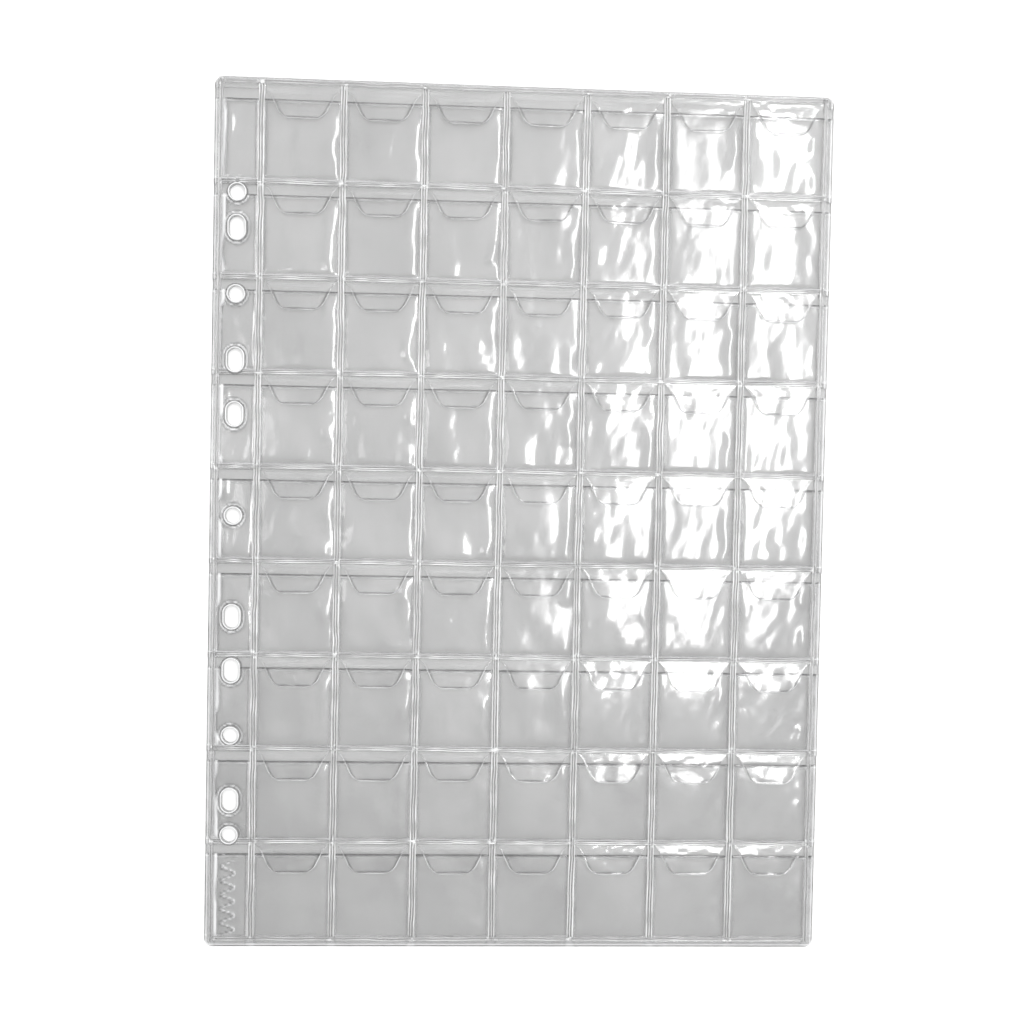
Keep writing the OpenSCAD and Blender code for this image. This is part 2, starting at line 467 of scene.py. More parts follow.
# Back sheet
bx, by = np.meshgrid(
    joined(
        LEFT + rim_in,
        steps(LEFT + RIM_IN_END, margin_right, 0.55),
        steps(margin_right, RIGHT - RIM_IN_END, 1.1),
        RIGHT - rim_in,
    ),
    joined(
        BOTTOM + rim_in, steps(BOTTOM + RIM_IN_END, TOP - RIM_IN_END, 1.0), TOP - rim_in
    )[::-1],
)
bx = rounded(bx, by)
keep = np.ones((bx.shape[0] - 1, bx.shape[1] - 1), bool)
bx, by, keep = punch(bx, by, keep, HOLE_R + HOLE_SPARE)
ga, gb = side_gaps(bx)
row_gap = np.full(bx.shape, FAR)
for r in range(1, ROWS):
    from_weld = np.abs(by - sum(under[r]) / 2) - HALF_ROW_WELD
    row_gap = np.minimum(row_gap, np.maximum(from_weld, 0))
# flat at the welds and round the holes
lift = away(ga, 2) * away(gb, 2) * away(row_gap, 2) * away(hole_distance(bx, by) - 3.5, 1)
bz = FILM + lift * BACK_WAVE * (1 + waves(bx, by, 9, 24, 31))
# painted shade and painted highlight lines along the page's cut edge
white, dark = edge_marks(bx, by)
back = film_object("back_film", bx, by, bz, keep, 0.5 * white, dark)
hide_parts("rear_sheet")
pieces.append(back)

# Front film, one strip for each row. Its grid is fine just below the mouth
near = np.array([0, 0.12, 0.25, 0.4, 0.6, 0.85, 1.2, 1.7])
# The plain raised wave that stands where the lower margin is embossed: its height, its swing to
# the side, how fast it turns, its distance from the page's side, and where it starts and ends
WAVE_HEIGHT = 0.36
WAVE_SWING = 2.4
WAVE_TURN = 1.18
WAVE_IN = 8.7
WAVE_START = 4.0
WAVE_END = 33


def front_grid(r):
    """Grid of row r's front strip, from its mouth down, and the cells that it keeps."""
    deep = mouth[r] - under[r][1] + LAP
    down_page = joined(near, steps(near[-1], deep, 0.66))
    if r < ROWS:
        down_page = joined(down_page, [mouth[r] - under[r][0] - LAP, mouth[r] - strip_end[r]])
    else:
        length = mouth[r] - BOTTOM
        below_weld = steps(mouth[r] - under[r][0] - LAP, length - RIM_IN_END, 0.4)
        down_page = joined(down_page, below_weld, length - rim_in)
    x, y = np.meshgrid(fine_x, mouth[r] - down_page)
    if r == ROWS:
        x = rounded(x, y)
    return punch(x, y, ~fused(x, y, [under[r]]), HOLE_R + HOLE_SPARE)


def raised_wave(x, y):
    """Strength of the raised wave in the lower margin, and the distance to its middle line."""
    phase = (y - BOTTOM) * WAVE_TURN
    wave_x = LEFT + WAVE_IN + WAVE_SWING * np.sin(phase)
    ends = ease((y - BOTTOM - WAVE_START) / 1.5) * ease((BOTTOM + WAVE_END - y) / 1.5)
    return ends, (x - wave_x) / np.hypot(1, WAVE_SWING * WAVE_TURN * np.cos(phase))


def front_marks(x, y, r):
    """Painted highlight and painted shade lines of row r's front film."""
    ga, gb = side_gaps(x)
    gap = np.minimum(ga, gb)
    edge = mouth[r] - y
    low = y - under[r][1]
    s = hole_distance(x, y)
    white, dark = edge_marks(x, y)
    # marks fade in and out along their length
    broken = 0.5 + 0.5 * waves(x, y, 2.5, 5, 18)
    # the free edge gets a painted shade line with a painted highlight line beside it
    dark = dark + line(edge, 0.25, 0.62)
    white = white + 0.25 * line(edge, 0.85, 0.3) * (0.3 + broken)
    # the ring that the punch pressed gets a painted highlight line between two painted shade lines
    white = white + 0.55 * line(s, HOLE_R + 1.4, 0.22) * (0.25 + broken)
    dark = dark + 0.5 * line(s, HOLE_R + 0.9, 0.2) + 0.4 * line(s, HOLE_R + 1.9, 0.22)
    # painted highlight and painted shade lines where the film turns down to a weld
    white = white + 0.30 * line(gap, 0.15, 0.22) * broken + 0.25 * line(low, 0.3, 0.25) * broken
    dark = dark + 0.35 * line(gap, 0.6, 0.25) + 0.45 * line(low, 0.0, 0.3)
    # where the margin's outer seam is drawn tight, a painted highlight line runs beside it in
    # stretches
    painted_light_stretch = np.clip(0.45 + 1.1 * margin_waves(y), 0, 1) * (x < margin_right)
    white = white + painted_light_stretch * line(ga, 0.4 + 0.6 * painted_light_stretch, 0.45) * away(low, 1)
    return white, dark


for r in range(1, ROWS + 1):
    x, y, keep = front_grid(r)
    edge = mouth[r] - y
    free = away(np.minimum(*side_gaps(x)), 0.8)
    # a lip along the free edge
    lip = 0.08 * line(edge, 0.45, 0.22) - 0.10 * np.exp(-edge / 0.2)
    z = front_z(x, y, r) + free * lip
    white, dark = front_marks(x, y, r)
    if r == ROWS:
        ends, off = raised_wave(x, y)
        z = z + WAVE_HEIGHT * ends * line(off, 0, 0.4)
        # the raised wave gets a painted highlight line on one side and a painted shade line on the
        # other
        white = white + 0.34 * ends * line(off, 0.22, 0.2)
        dark = dark + 0.6 * ends * line(off, -0.32, 0.22)
    o = film_object(f"front_film_{r}", x, y, z, keep, white, dark)
    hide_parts(f"front_strip_{r}")
    pieces.append(o)

# Flap film: a welded band and its seven tongues are one sheet for each row.
# Grid lines are close together beside a tongue's cut edge
edge_in = np.array([0, 0.13, 0.28, 0.45, 0.7, 1.1])
EDGE_IN_END = edge_in[-1]
inner = steps(-ROOT_W / 2 + EDGE_IN_END, ROOT_W / 2 - EDGE_IN_END, 0.9)
tongue_x = joined(-ROOT_W / 2 + edge_in, inner, ROOT_W / 2 - edge_in)
# Length of a tongue
TONGUE = root[1] - tip[1]
down = joined(steps(0, TONGUE - EDGE_IN_END, 0.55), TONGUE - edge_in)
# Slant of a tongue's sides, and how far below the root its corners begin
SLANT = math.atan2((SHOULDER_W - TIP_W) / 2, TONGUE - SHOULDER_H)
TURN = TONGUE - TIP_R + TIP_R * math.sin(SLANT)


def half_width(s):
    """Half the width of a tongue at distance s below its root."""
    places, widths = [0, SHOULDER_H, TONGUE], [ROOT_W / 2, SHOULDER_W / 2, TIP_W / 2]
    straight = np.interp(s, places, widths)
    centre = np.interp(TURN, places, widths) - TIP_R * math.cos(SLANT)
    c = s - (TONGUE - TIP_R)
    round_part = centre + np.sqrt(np.maximum(TIP_R**2 - c**2, 0))
    return np.where(s > TURN, round_part, straight)


# Space between the front film and a tongue on it, between the front film above and the band over
# it, and between the weld's face and the band
TONGUE_GAP = 0.07
BAND_GAP = 0.03
HELD_GAP = 0.02
# Looseness of the strip just below the weld, and waviness of the tongues
LOOSE_WAVES = (0.08, 4.5, 2.6, 45)
LOOSE_WRINKLES = (0.05, 1.9, 1.2, 46)
TONGUE_WAVES = (0.12, 5.2, 4.5, 41)
TONGUE_WRINKLES = (0.04, 2.1, 1.8, 47)
# Lip that the die leaves along a cut edge: height, place and width, then the drop at the cut
LIP = (0.07, 0.36, 0.18)
CUT_DROP = (0.09, 0.16)
# Height of the faint lines across a strip, and the seed that the tongues' curls are drawn from
DRAWN_HEIGHT = 0.012
CURL_SEED = 500


def flap_grid(r):
    """Grid of row r's flap strip and the cells that it keeps.

    It also gives the number of the tongue that each point is on, or -1, and the distance below
    the tongues' root."""
    lines = [fine_x[fine_x < margin_right + LAP + SAME_LINE], [uprights[1][1] - LAP]]
    for c, mid in enumerate(pocket_mid):
        lines.append(mid + tongue_x)
        if c + 1 < COLUMNS:
            lines.append([uprights[c + 2][0] + LAP, uprights[c + 2][1] - LAP])
    lines.append(fine_x[fine_x > uprights[-1][0] + LAP - SAME_LINE])
    line_x = joined(*lines)
    # distances down from the band's upper edge to the tongues' roots
    depth = band_top[r] - root[r]
    weld_up, weld_down = band_top[r] - over[r][1] + LAP, band_top[r] - over[r][0] - LAP
    if r == 1:
        upper = joined(rim_in[:4], [weld_up], steps(weld_down, depth, 0.36))
    else:
        upper = joined([0, 0.14, 0.3], [weld_up], steps(weld_down, depth, 0.3))
    x, y = np.meshgrid(line_x, np.concatenate([band_top[r] - upper, root[r] - down[1:]]))
    if r == 1:
        x = rounded(x, y)
    band_rows = len(upper)
    s = np.maximum(root[r] - y, 0)
    keep = ~fused(x, y, [over[r]])
    keep[band_rows - 1 :, :] = False
    tongue_no = np.full(x.shape, -1)
    for c, mid in enumerate(pocket_mid):
        i0 = int(np.argmin(np.abs(line_x - (mid - ROOT_W / 2))))
        i1 = int(np.argmin(np.abs(line_x - (mid + ROOT_W / 2))))
        keep[band_rows - 1 :, i0:i1] = True
        tongue_no[band_rows - 1 :, i0 : i1 + 1] = c
        # the grid narrows as the tongue does
        share = (x[band_rows:, i0 : i1 + 1] - mid) / (ROOT_W / 2)
        x[band_rows:, i0 : i1 + 1] = mid + share * half_width(s[band_rows:, i0 : i1 + 1])
    return *punch(x, y, keep, HOLE_R + HOLE_SPARE), tongue_no, s


def strip_z(x, y, r, s):
    """Height of row r's flap film before its tongues curl."""
    # from the weld over the row, up to where the tongue lies on the front film
    below = over[r][0] - y
    rest = front_z(x, np.minimum(y, mouth[r]), r, wrinkles=False) + FILM + TONGUE_GAP
    held = WELD_Z + FILM + HELD_GAP
    z = held + (rest - held) * ease(below / (over[r][0] - mouth[r]))
    free = away(np.minimum(*side_gaps(x)), 0.8)
    loose = free * ease(below / 0.8) * np.exp(-np.maximum(s - 3, 0) / 2)
    slack_waves = LOOSE_WAVES[0] + relief(LOOSE_WAVES, x, y)
    z = z + loose * (slack_waves + relief(LOOSE_WRINKLES, x, y))
    if r > 1:
        # the band's upper part lies on the end of the front film above
        rise = FILM + BAND_GAP
        above = front_z(x, np.maximum(y, strip_end[r - 1]), r - 1, wrinkles=False) + rise
        z = np.where(y > over[r][1], np.maximum(above, held), z)
        z = flange(x, np.clip(y, under[ROWS][0], over[1][1]), z - rise) + rise
    else:
        z = flange(x, y, z)
    pin = held_at_rim(hole_distance(x, y)) * (x < margin_right)
    return z * (1 - pin) + FLAP_PIN_Z * pin


def tongue_relief(x, y, r, s, from_mid, tongue_no, from_edge):
    """How far the tongues stand off where the strip would lie."""
    # each tongue curls and twists a little in its own way, and the upper rows' stand up more
    rnd = np.random.RandomState(CURL_SEED + r).uniform(0, 1, (COLUMNS, 3))[tongue_no]
    curl = rnd[..., 0] * 0.30 + 0.10
    twist = (rnd[..., 1] - 0.5) * 0.024
    up = curl * ease((s - 4.5) / 7.5) * (1.5 - 0.1 * r)
    up = up + twist * from_mid * ease((s - 4) / 7)
    uneven = TONGUE_WAVES[0] + relief(TONGUE_WAVES, x, y) + relief(TONGUE_WRINKLES, x, y)
    lip = LIP[0] * line(from_edge, LIP[1], LIP[2])
    lip = lip - CUT_DROP[0] * np.exp(-from_edge / CUT_DROP[1])
    return up + ease(s / 3) * uneven + lip * ease(s / 0.8)


def flap_marks(x, y, r, s, on, from_edge, drawn):
    """Painted highlight and painted shade lines of row r's flap film."""
    white, dark = edge_marks(x, y)
    # a faint painted highlight along the rolled lines across the band
    white = white + 0.10 * np.clip(drawn, 0, 1) * ease(y - mouth[r])
    # a tongue's cut edge: a painted shade line and a faint painted highlight line, which fade above
    # the mouth
    cut = ease(s / 0.5) * on * (0.35 + 0.65 * ease((mouth[r] - y + 0.6) / 1.2))
    patch = 0.5 + 0.5 * waves(x, y, 4, 4, 44)
    bright = (0.16 + 0.34 * patch) * (0.55 + 0.075 * r)
    white = white + cut * bright * line(from_edge, 0.12, 0.24)
    dark = dark + cut * (0.85 - 0.35 * patch) * line(from_edge, 0.62, 0.28)
    if r > 1:
        top_edge = band_top[r] - y
        # painted highlight and painted shade lines along the band's upper cut edge
        white = white + 0.35 * line(top_edge, 0.25, 0.2)
        dark = dark + 0.25 * line(top_edge, 0.0, 0.15)
    # a painted shade line along the straight lower edge between the tongues and in the margin
    between = ~on * line(np.abs(root[r] - y), 0.0, 0.22)
    return white, dark + 0.35 * between


for r in range(1, ROWS + 1):
    x, y, keep, tongue_no, s = flap_grid(r)
    on = tongue_no >= 0
    tongue_no = np.maximum(tongue_no, 0)
    from_mid = x - np.array(pocket_mid)[tongue_no]
    from_side = np.where(on, np.maximum(half_width(s) - np.abs(from_mid), 0), FAR)
    from_tip = np.where(on, np.maximum(root[r] - tip[r] - s, 0), FAR)
    from_edge = np.minimum(from_side, from_tip)
    # faint lines across the strip, as it was rolled and welded
    drawn = waves(x, y, 16, 0.42, 43)
    z = strip_z(x, y, r, s)
    z = z + on * tongue_relief(x, y, r, s, from_mid, tongue_no, from_edge)
    z = z + DRAWN_HEIGHT * drawn * ~(on & (s > 0))
    white, dark = flap_marks(x, y, r, s, on, from_edge, drawn)
    o = film_object(f"flap_film_{r}", x, y, z, keep, white, dark)
    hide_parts(f"flap_band_{r}", f"flaps_{r}")
    pieces.append(o)
    row_of[o.name] = r

# ---------------------------------------------------------------- the welds

# Spacing of a ribbon's grid lines across it and along it, and the run of its rounded sides
RIBBON_ACROSS = 0.13
RIBBON_ALONG = 0.7
RIBBON_SIDE = 0.22
# How far a weld's underside is sunk into the back sheet
SUNK = 0.03
# How far a crossing disturbs a weld
KNOT_REACH = 1.6


def ribbon(low, high, start, end, upright, crest, seed, beads, marks):
    """A fused seam: pressed down between rounded beads, and a little uneven.

    low and high are its sides, start and end its ends along its length. beads are ridges across
    it, by place, width and height. marks are painted highlight lines, and painted shade lines where
    the strength is below 0, by place, width and strength."""
    half = (high - low) / 2
    centre = (high + low) / 2
    u = np.linspace(-half, half, int(round(2 * half / RIBBON_ACROSS)) + 1)
    profile = np.zeros(len(u))
    for at, width, height in beads:
        profile = profile + height * line(u, at, width)
    along = steps(start, end, RIBBON_ALONG)
    t = np.repeat(along[:, None], len(u), 1)
    uu = np.repeat(u[None, :], len(along), 0)
    # other welds cross it here
    crosses = np.array([sum(v) / 2 for v in (over.values() if upright else uprights)])
    from_cross = np.abs(t[..., None] - crosses).min(-1)
    knot = np.exp(-((from_cross / KNOT_REACH) ** 2))
    uneven = 1 + 0.45 * waves(t, uu, 2.4, 1.4, seed) + 0.25 * waves(t, 0, 9, 5, seed + 1)
    wander = 0.26 * waves(t, 0, 9, 5, seed + 2) + 0.08 * waves(t, 0, 1.8, 5, seed + 3)
    shift = wander * (1 - (np.abs(uu) / half) ** 4)
    side = ease((half - np.abs(uu)) / RIBBON_SIDE)
    z = crest * (0.4 + 0.6 * side) + profile[None, :] * uneven * side
    z = z + 0.03 * side * waves(t, uu, 0.9, 0.8, seed + 4)
    z = z + 0.14 * side * knot * waves(t, uu, 1.1, 1.0, seed + 5)
    white, dark = np.zeros(z.shape), np.zeros(z.shape)
    run = 0.8 + 0.5 * waves(t, 0, 5, 3, seed + 6)
    if not upright:
        # the painted highlight lines of a row's weld are brightest along the middle of each pocket
        run = run * (0.3 + 0.8 * ease((from_cross - 3) / 5))
    for at, width, strength in marks:
        if strength > 0:
            white = white + strength * line(uu, at, width) * run
        else:
            dark = dark - strength * line(uu, at, width)
    # painted highlight and painted shade specks where another weld crosses
    speck = waves(t, uu, 0.8, 0.7, seed + 7)
    white = white + knot * np.clip(speck * 2.2 - 0.5, 0, 0.8)
    dark = dark + knot * np.clip(-speck * 1.5 - 0.5, 0, 0.5)
    across = centre + uu + shift
    x, y = (across, t) if upright else (t, across)
    return x, y, z, np.full(z.shape, FILM - SUNK), white, dark


def ribbon_object(name, parts, nodes):
    """One closed object from several ribbons, each with whether its faces have to be turned."""
    points, quads, smooth, milk_and_painted_lights, painted_shades = [], [], [], [], []
    start = 0
    for (x, y, z, z_low, white, dark), flip in parts:
        rows, cols = x.shape
        n = rows * cols
        at = np.arange(n).reshape(rows, cols)
        up = np.stack([x, y, z], -1).reshape(-1, 3)
        lo = np.stack([x, y, z_low], -1).reshape(-1, 3)
        p, q, s, t = at[:-1, :-1], at[1:, :-1], at[1:, 1:], at[:-1, 1:]
        top = np.stack([p, t, s, q], -1).reshape(-1, 4)
        ring = np.concatenate([at[0, :-1], at[:-1, -1], at[-1, :0:-1], at[:0:-1, 0]])
        nxt = np.roll(ring, -1)
        side = np.stack([nxt, ring, ring + n, nxt + n], -1)
        bottom = top[:, ::-1] + n
        q_all = np.concatenate([top, bottom, side])
        if flip:
            q_all = q_all[:, ::-1]
        points += [up, lo]
        quads.append(q_all + start)
        smooth.append(np.arange(len(q_all)) < 2 * len(top))
        milk_and_painted_lights += [white.ravel(), np.zeros(n)]
        painted_shades += [dark.ravel(), np.zeros(n)]
        start += 2 * n
    o = make_object(
        name,
        np.concatenate(points),
        np.concatenate(quads),
        np.concatenate(smooth),
        np.concatenate(milk_and_painted_lights),
        np.concatenate(painted_shades),
    )
    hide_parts(*nodes)
    return o


# Beads and painted highlight and shade lines of the welds between columns, round the page's edge
# and between rows
UPRIGHT_BEADS = ((-1.0, 0.24, 0.26), (0, 0.28, 0.30), (1.0, 0.24, 0.26))
UPRIGHT_MARKS = (
    (-1.0, 0.2, 0.95),
    (0.0, 0.17, 0.65),
    (0.98, 0.2, 1.0),
    (-0.55, 0.22, -0.85),
    (0.5, 0.22, -0.9),
)
EDGE_BEADS = ((-0.5, 0.22, 0.16), (0.45, 0.22, 0.16))
EDGE_MARKS = ((-0.45, 0.18, 0.32), (0.5, 0.18, 0.26), (0.05, 0.2, -0.7))
ROW_BEADS = ((-0.45, 0.2, 0.26), (0.3, 0.2, 0.2))
ROW_MARKS = ((-0.45, 0.17, 0.95), (0.28, 0.16, 0.75), (0.72, 0.2, -1.0), (-0.08, 0.15, -0.6))
# A seam's face stands a little above the film beside it
crest_z = WELD_Z + 0.06
# A seam keeps this far clear of a hole's edge. Seeds of the first upright and the first row seam
SEAM_CLEAR = 0.4
UPRIGHT_SEED = 700
ROW_SEED = 900

for k, name in enumerate(upright_names):
    low, high = uprights[k]
    outer = k in (0, len(uprights) - 1)
    ends = (under[ROWS][0], over[1][1]) if outer else (under[ROWS][1], over[1][0])
    beads, marks = (EDGE_BEADS, EDGE_MARKS) if outer else (UPRIGHT_BEADS, UPRIGHT_MARKS)
    part = ribbon(low, high, *ends, True, crest_z, UPRIGHT_SEED + 10 * k, beads, marks)
    pieces.append(ribbon_object(f"seam_{name}", [(part, False)], [name]))

for r in range(ROWS + 1):
    name = {0: "top_edge_weld", ROWS: "bottom_edge_weld"}.get(r, f"row_weld_{r}")
    low, high = over[1] if r == 0 else under[r]
    top_z = crest_z + (0 if r == ROWS else FILM)
    start, end = uprights[0][1], uprights[-1][0]
    beads, marks = (EDGE_BEADS, EDGE_MARKS) if r in (0, ROWS) else (ROW_BEADS, ROW_MARKS)
    # a rim in the way splits the seam in two
    cuts = []
    for at, run in holes:
        gap = max(abs((low + high) / 2 - at) - run - (high - low) / 2, 0)
        if gap < HOLE_R + SEAM_CLEAR:
            cuts.append(math.sqrt((HOLE_R + SEAM_CLEAR) ** 2 - gap**2))
    spans = [(start, end)]
    if cuts:
        spans = [(start, HOLE_X - max(cuts)), (HOLE_X + max(cuts), end)]
    parts = []
    for n, (s0, s1) in enumerate(spans):
        seed = ROW_SEED + 20 * r + 10 * n
        parts.append((ribbon(low, high, s0, s1, False, top_z, seed, beads, marks), True))
    pieces.append(ribbon_object(f"seam_{name}", parts, [name]))

# ---------------------------------------------------------------- the rims of the binder holes

# A rim's section: distance out from its hole, height, painted highlight and painted shade
RIM_SECTION = (
    (0.0, 0.02, 0, 0.4),
    (-0.02, 0.6, 0, 0.5),
    (0.0, 1.3, 0, 0.6),
    (0.05, 1.62, 0.2, 0.3),
    (0.17, 1.84, 0.6, 0),
    (0.36, 1.93, 0.85, 0),
    (0.54, 1.86, 0.6, 0),
    (0.68, 1.66, 0.3, 0.2),
    (0.80, 1.42, 0, 0.7),
    (1.05, 1.26, 0.1, 0.3),
    (1.25, 1.10, 0, 0.5),
    (1.22, 0.7, 0, 0.2),
    (0.95, 0.3, 0, 0),
    (0.9, 0.02, 0, 0.2),
)
# Steps round a rim, how far its lip reaches into the hole, and its unevenness
TURNS = 72
LIP_IN = 0.12
RIM_WAVES = (0.05, 1, 1, 61)
points, quads = [], []
start = 0
for k, (at, run) in enumerate(holes):
    shape = []
    for i in range(TURNS):
        angle = 2 * math.pi * i / TURNS
        cx, cy = math.cos(angle), math.sin(angle)
        dy = run if cy > 0 else -run
        for out, h, _, _ in RIM_SECTION:
            wobble = relief(RIM_WAVES, out * 2 + 3 * k, i * 0.25)
            rad = HOLE_R - LIP_IN + out + wobble * (0.3 + out)
            shape.append((HOLE_X + rad * cx, at + dy + rad * cy, h * (1 + wobble)))
    m = len(RIM_SECTION)
    a = np.arange(TURNS * m).reshape(TURNS, m)
    b = np.roll(a, -1, 0)
    c = np.roll(b, -1, 1)
    d = np.roll(a, -1, 1)
    quads.append(np.stack([a, b, c, d], -1).reshape(-1, 4) + start)
    points.append(np.array(shape))
    start += TURNS * m
points, quads = np.concatenate(points), np.concatenate(quads)
_, _, white, dark = np.tile(np.array(RIM_SECTION).T, TURNS * len(holes))
rims = make_object("rim_rings", points, quads, np.ones(len(quads), bool), white, dark)
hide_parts("hole_rims")
pieces.append(rims)

# ---------------------------------------------------------------- materials


class Nodes:
    """Short names for adding shader nodes."""

    def __init__(self, name):
        self.mat = bpy.data.materials.new(name)
        self.mat.use_nodes = True
        self.tree = self.mat.node_tree
        self.tree.nodes.clear()

    def add(self, kind, **settings):
        """A new node of a kind, with its settings."""
        node = self.tree.nodes.new(kind)
        for key, value in settings.items():
            setattr(node, key, value)
        return node

    def link(self, a, b):
        """Joins output a to input b."""
        self.tree.links.new(a, b)

    def math(self, operation, a, b):
        """An operation on two values, each a socket or a number."""
        node = self.add("ShaderNodeMath", operation=operation)
        for k, value in enumerate((a, b)):
            if isinstance(value, (int, float)):
                node.inputs[k].default_value = value
            else:
                self.link(value, node.inputs[k])
        return node.outputs[0]

    def noise(self, coordinates, scale, detail, stretch=(1, 1, 1)):
        """Noise from 0 to 1. A small number in stretch draws it out along that axis."""
        mapping = self.add("ShaderNodeMapping")
        mapping.inputs["Scale"].default_value = stretch
        self.link(coordinates, mapping.inputs["Vector"])
        node = self.add("ShaderNodeTexNoise")
        node.inputs["Scale"].default_value = scale
        node.inputs["Detail"].default_value = detail
        self.link(mapping.outputs[0], node.inputs["Vector"])
        return node.outputs[0]

    def ramp(self, value, low, high, to_low, to_high):
        """Turns the run from low to high into the run from to_low to to_high."""
        node = self.add("ShaderNodeMapRange")
        limits = {"From Min": low, "From Max": high, "To Min": to_low, "To Max": to_high}
        for key, limit in limits.items():
            node.inputs[key].default_value = limit
        self.link(value, node.inputs["Value"])
        return node.outputs[0]


# How strongly a painted shade line darkens the film, and the tone it darkens towards
PAINTED_SHADE_SHARE = 0.42
PAINTED_SHADE_TONE = 0.08
# Share of the light that a cloudy patch still lets through, next to a clear one
CLOUDY_SHARE = 0.972
# The colour of the milky haze and of the painted highlight lines, and the most that the two
# together can whiten the film
MILK_AND_PAINTED_LIGHT_WHITE = (0.93, 0.935, 0.94, 1)
MOST_WHITE = 0.85
# Fineness of the cloudy patches, the hairline scratches and the grain
CLOUD_SCALE = 26
HAIR_SCALE = 160
GRAIN_SCALE = 900
# How strongly the grain shows, and its depth
GRAIN_STRENGTH = 0.35
GRAIN_DEPTH = 0.04


def grey(tone):
    """A neutral colour."""
    return tone, tone, tone, 1


def clear_vinyl(name, passes, mirror, smooth, milk):
    """Clear soft vinyl: it lets most light through, mirrors the rest and is faintly milky; the
    painted highlight lines of its mesh whiten it and its painted shade lines darken it.

    passes is the share of light one face lets through, mirror its reflection head on,
    smooth the roughness where it is cleanest, milk the share of light it scatters."""
    n = Nodes(name)
    place = n.add("ShaderNodeTexCoord").outputs["Object"]
    # a film handled and pulled about has cloudy patches, fine grain and hairline scratches
    cloud = n.noise(place, CLOUD_SCALE, 2.5)
    grain = n.noise(place, GRAIN_SCALE, 1.0)
    hair = n.noise(place, HAIR_SCALE, 1.5, (1, 0.07, 1))
    # it mirrors more where it is seen at a slant, by Schlick's rule
    facing = n.add("ShaderNodeLayerWeight")
    facing.inputs["Blend"].default_value = 0.5
    steep = n.math("POWER", facing.outputs["Facing"], 5.0)
    share = n.math("ADD", n.math("MULTIPLY", steep, 1 - mirror), mirror)
    through = n.add("ShaderNodeBsdfTransparent")
    tint = n.add("ShaderNodeMix", data_type="RGBA")
    tint.inputs["A"].default_value = grey(passes)
    tint.inputs["B"].default_value = grey(passes * CLOUDY_SHARE)
    n.link(n.ramp(cloud, 0.3, 0.7, 0, 1), tint.inputs["Factor"])
    # painted shade lines darken the light that the film lets through
    painted_shade_mark = n.add("ShaderNodeAttribute", attribute_name="dark")
    shaded = n.add("ShaderNodeMix", data_type="RGBA", blend_type="MULTIPLY")
    n.link(n.math("MULTIPLY", painted_shade_mark.outputs["Fac"], PAINTED_SHADE_SHARE), shaded.inputs["Factor"])
    n.link(tint.outputs["Result"], shaded.inputs["A"])
    shaded.inputs["B"].default_value = grey(PAINTED_SHADE_TONE)
    n.link(shaded.outputs["Result"], through.inputs["Color"])
    gloss = n.add("ShaderNodeBsdfAnisotropic")
    gloss.inputs["Color"].default_value = grey(1)
    handled = n.ramp(cloud, 0.35, 0.75, smooth, smooth * 1.6)
    scratched = n.ramp(hair, 0.55, 0.75, 0, 0.10)
    n.link(n.math("ADD", handled, scratched), gloss.inputs["Roughness"])
    bump = n.add("ShaderNodeBump")
    bump.inputs["Strength"].default_value = GRAIN_STRENGTH
    bump.inputs["Distance"].default_value = GRAIN_DEPTH * MM
    n.link(grain, bump.inputs["Height"])
    n.link(bump.outputs[0], gloss.inputs["Normal"])
    # the milky haze and the painted highlight lines both show as this white diffuse
    white = n.add("ShaderNodeBsdfDiffuse")
    white.inputs["Color"].default_value = MILK_AND_PAINTED_LIGHT_WHITE
    painted_light_mark = n.add("ShaderNodeAttribute", attribute_name="white")
    haze = n.ramp(cloud, 0.4, 0.8, milk * 0.5, milk * 1.6)
    haze_and_painted_light = n.math("MINIMUM", n.math("ADD", haze, painted_light_mark.outputs["Fac"]), MOST_WHITE)
    body = n.add("ShaderNodeMixShader")
    n.link(haze_and_painted_light, body.inputs[0])
    n.link(through.outputs[0], body.inputs[1])
    n.link(white.outputs[0], body.inputs[2])
    out = n.add("ShaderNodeMixShader")
    n.link(share, out.inputs[0])
    n.link(body.outputs[0], out.inputs[1])
    n.link(gloss.outputs[0], out.inputs[2])
    end = n.add("ShaderNodeOutputMaterial")
    n.link(out.outputs[0], end.inputs["Surface"])
    return n.mat


# The look of each piece, by the first word of its name
looks = {
    "back": clear_vinyl("vinyl_back", passes=0.832, mirror=0.022, smooth=0.45, milk=0.012),
    "front": clear_vinyl("vinyl_front", passes=0.98, mirror=0.042, smooth=0.12, milk=0.008),
    "flap": clear_vinyl("vinyl_flap", passes=0.985, mirror=0.042, smooth=0.11, milk=0.012),
    "seam": clear_vinyl("vinyl_weld", passes=0.97, mirror=0.12, smooth=0.42, milk=0.02),
    "rim": clear_vinyl("vinyl_rim", passes=0.93, mirror=0.035, smooth=0.16, milk=0.03),
}
for o in pieces:
    o.data.materials.append(looks[o.name.split("_")[0]])

# ---------------------------------------------------------------- what moves with what

# Points a little above a flap's root and further below it, at this height, which the loop below
# works out but does not use
BEND_ABOVE = 0.35
BEND_BELOW = 1.6
BEND_Z = 2.2
for o in pieces:
    if o.name in row_of:
        r = row_of[o.name]
        start = (0, (root[r] + BEND_ABOVE) * MM, BEND_Z * MM)
        end = (0, (root[r] - BEND_BELOW) * MM, BEND_Z * MM)
        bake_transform(o)
    else:
        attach(o, "page")

# ---------------------------------------------------------------- floor, light and camera

